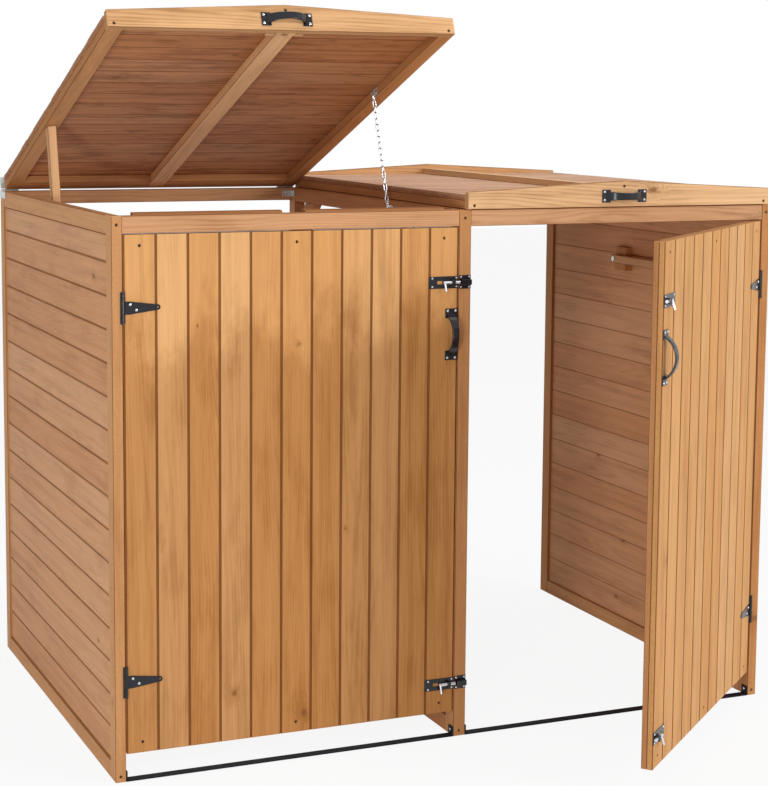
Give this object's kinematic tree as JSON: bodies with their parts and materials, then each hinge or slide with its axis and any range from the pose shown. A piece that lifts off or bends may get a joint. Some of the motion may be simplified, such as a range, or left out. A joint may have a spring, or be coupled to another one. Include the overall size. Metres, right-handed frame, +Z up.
{
  "type": "wheelie bin store",
  "caption": "Wooden store for wheeled bins, with boarded sides and doors, lifting lids, slide bolts, bow handles, prop sticks and stay chains.",
  "frame": {"origin": "on the ground at the middle of the footprint", "axes": "+Z up, -Y towards the front with the doors, +X towards the right-hand side seen from the front"},
  "size_m": [1.5458, 1.5474, 1.5725],
  "materials": {
    "post_pine": "oiled softwood, planed",
    "frame_pine": "oiled softwood, planed",
    "wall_pine": "oiled softwood boards, planed",
    "black_steel": "satin black",
    "zinc_steel": "bright zinc plated",
    "screw_zinc": "bright zinc plated",
    "chain_steel": "bright zinc plated",
    "fascia_pine": "oiled softwood, planed",
    "roof_pine": "oiled softwood boards, planed",
    "door_pine": "oiled softwood boards, planed",
    "bolt_zinc": "bright zinc plated",
    "stick_pine": "planed softwood, untreated"
  },
  "bodies": {
    "store_frame": {"side_posts": "post_pine", "centre_posts": "post_pine", "wall_rails": "post_pine", "centre_rails": "frame_pine", "centre_brace": "frame_pine", "left_wall_boards": "wall_pine", "right_wall_boards": "wall_pine", "front_rails": "post_pine", "front_rail_strips": "frame_pine", "back_rails": "frame_pine", "ground_bars": "black_steel", "corner_plates": "zinc_steel", "door_hinge_leaves": "black_steel", "bolt_keepers": "black_steel", "lid_hinge_frame_leaves": "zinc_steel", "chain_anchor_plates": "zinc_steel", "prop_blocks": "frame_pine", "prop_pivot_screws": "zinc_steel", "frame_screws": "screw_zinc", "left_chain": "chain_steel", "right_chain": "chain_steel"},
    "left_lid": {"left_lid_front_fascia": "fascia_pine", "left_lid_rear_fascia": "fascia_pine", "left_lid_rails": "frame_pine", "left_lid_beam": "frame_pine", "left_lid_roof_boards": "roof_pine", "left_lid_ridge_batten": "fascia_pine", "left_lid_handle": "black_steel", "left_lid_hinge_leaves": "zinc_steel", "left_lid_chain_plate": "zinc_steel", "left_lid_screws": "screw_zinc"},
    "left_door": {"left_door_boards": "door_pine", "left_door_frame": "frame_pine", "left_door_handle": "black_steel", "left_door_hinge_straps": "black_steel", "left_door_bolt_plates": "black_steel", "left_door_screws": "screw_zinc"},
    "left_upper_bolt": {"left_upper_bolt": "bolt_zinc"},
    "left_lower_bolt": {"left_lower_bolt": "bolt_zinc"},
    "left_prop": {"left_prop_stick": "stick_pine"},
    "right_lid": {"right_lid_front_fascia": "fascia_pine", "right_lid_rear_fascia": "fascia_pine", "right_lid_rails": "frame_pine", "right_lid_beam": "frame_pine", "right_lid_roof_boards": "roof_pine", "right_lid_ridge_batten": "fascia_pine", "right_lid_handle": "black_steel", "right_lid_hinge_leaves": "zinc_steel", "right_lid_chain_plate": "zinc_steel", "right_lid_screws": "screw_zinc"},
    "right_door": {"right_door_boards": "door_pine", "right_door_frame": "frame_pine", "right_door_handle": "black_steel", "right_door_hinge_straps": "black_steel", "right_door_bolt_plates": "black_steel", "right_door_screws": "screw_zinc"},
    "right_upper_bolt": {"right_upper_bolt": "bolt_zinc"},
    "right_lower_bolt": {"right_lower_bolt": "bolt_zinc"},
    "right_prop": {"right_prop_stick": "stick_pine"}
  },
  "joints": [
    {"name": "left_lid_hinge", "type": "hinge", "parent": "store_frame", "child": "left_lid", "pos_m": [0, 0.519, 1.1505], "axis": [-1, 0, 0], "range_deg": [-20.65, 0], "deforming": ["left_chain"]},
    {"name": "right_lid_hinge", "type": "hinge", "parent": "store_frame", "child": "right_lid", "pos_m": [0, 0.519, 1.1505], "axis": [-1, 0, 0], "range_deg": [0, 20.65], "deforming": ["right_chain"]},
    {"name": "left_door_hinge", "type": "hinge", "parent": "store_frame", "child": "left_door", "pos_m": [-0.747, -0.5182, 0.6], "axis": [0, 0, -1], "range_deg": [0, 110]},
    {"name": "right_door_hinge", "type": "hinge", "parent": "store_frame", "child": "right_door", "pos_m": [0.747, -0.5182, 0.6], "axis": [0, 0, 1], "range_deg": [-41.2, 65]},
    {"name": "left_upper_bolt_slide", "type": "slide", "parent": "left_door", "child": "left_upper_bolt", "axis": [1, 0, 0], "range_m": [0, 0.011]},
    {"name": "left_lower_bolt_slide", "type": "slide", "parent": "left_door", "child": "left_lower_bolt", "axis": [1, 0, 0], "range_m": [0, 0.011]},
    {"name": "right_upper_bolt_slide", "type": "slide", "parent": "right_door", "child": "right_upper_bolt", "axis": [-0.7524, -0.6587, 0], "range_m": [0, 0.011]},
    {"name": "right_lower_bolt_slide", "type": "slide", "parent": "right_door", "child": "right_lower_bolt", "axis": [-0.7524, -0.6587, 0], "range_m": [0, 0.011]},
    {"name": "left_prop_fold", "type": "hinge", "parent": "store_frame", "child": "left_prop", "pos_m": [-0.7248, 0.089, 0.97759], "axis": [-0.9984, 0, -0.0558], "range_deg": [-90, 0]},
    {"name": "right_prop_fold", "type": "hinge", "parent": "store_frame", "child": "right_prop", "pos_m": [0.7248, 0.089, 0.97759], "axis": [-0.9984, 0, 0.0558], "range_deg": [0, 90]}
  ],
  "couplings": [
    {"joint": "left_prop_fold", "follows": "left_lid_hinge", "ratio": 4.358},
    {"joint": "right_prop_fold", "follows": "right_lid_hinge", "ratio": 4.358}
  ]
}
